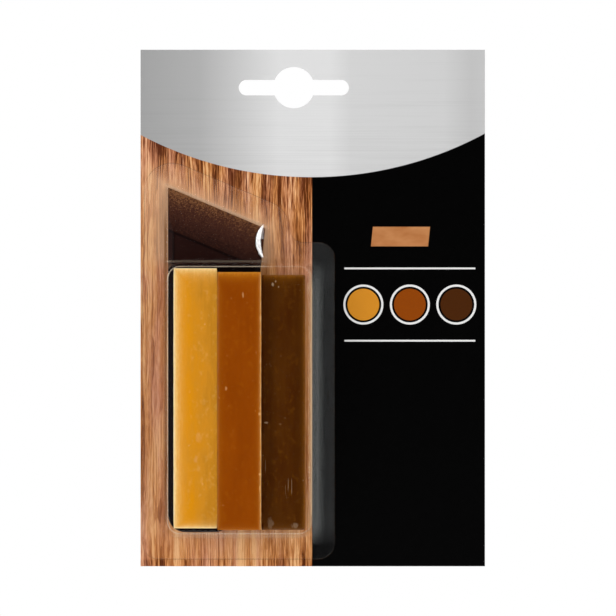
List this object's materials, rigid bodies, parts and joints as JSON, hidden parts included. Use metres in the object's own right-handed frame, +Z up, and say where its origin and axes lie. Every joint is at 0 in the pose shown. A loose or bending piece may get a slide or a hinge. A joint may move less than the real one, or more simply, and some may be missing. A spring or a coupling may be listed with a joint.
{
  "type": "carded wax repair stick pack",
  "caption": "Hanging retail card with a clear blister that holds coloured furniture repair wax sticks side by side over a skew-edged scraper.",
  "frame": {"origin": "middle of the hang hole, on the back face of the card", "axes": "+X to the right seen from the front, +Y out of the back of the card, +Z up as the pack hangs"},
  "size_m": [0.1, 0.0134, 0.15],
  "materials": {
    "card_board": "satin",
    "clear_film": "gloss",
    "light_wax": "satin",
    "medium_wax": "satin",
    "dark_wax": "satin",
    "scraper_plastic": "matte"
  },
  "bodies": {
    "card": {"backing_card": "card_board"},
    "blister": {"blister": "clear_film"},
    "light_stick": {"light_wax_stick": "light_wax"},
    "medium_stick": {"medium_wax_stick": "medium_wax"},
    "dark_stick": {"dark_wax_stick": "dark_wax"},
    "scraper": {"scraper": "scraper_plastic"}
  },
  "joints": [
    {"name": "blister_peel", "type": "slide", "parent": "card", "child": "blister", "axis": [0, -1, 0], "range_m": [0, 0.04]},
    {"name": "light_stick_slide", "type": "slide", "parent": "blister", "child": "light_stick", "axis": [0, 0, 1], "range_m": [-0.001, 0.0007]},
    {"name": "medium_stick_slide", "type": "slide", "parent": "blister", "child": "medium_stick", "axis": [0, 0, 1], "range_m": [-0.0005, 0.0018]},
    {"name": "dark_stick_slide", "type": "slide", "parent": "blister", "child": "dark_stick", "axis": [0, 0, 1], "range_m": [-0.0005, 0.0026]},
    {"name": "scraper_slide", "type": "slide", "parent": "blister", "child": "scraper", "axis": [0, 0, 1], "range_m": [-0.001, 0.0006]}
  ]
}
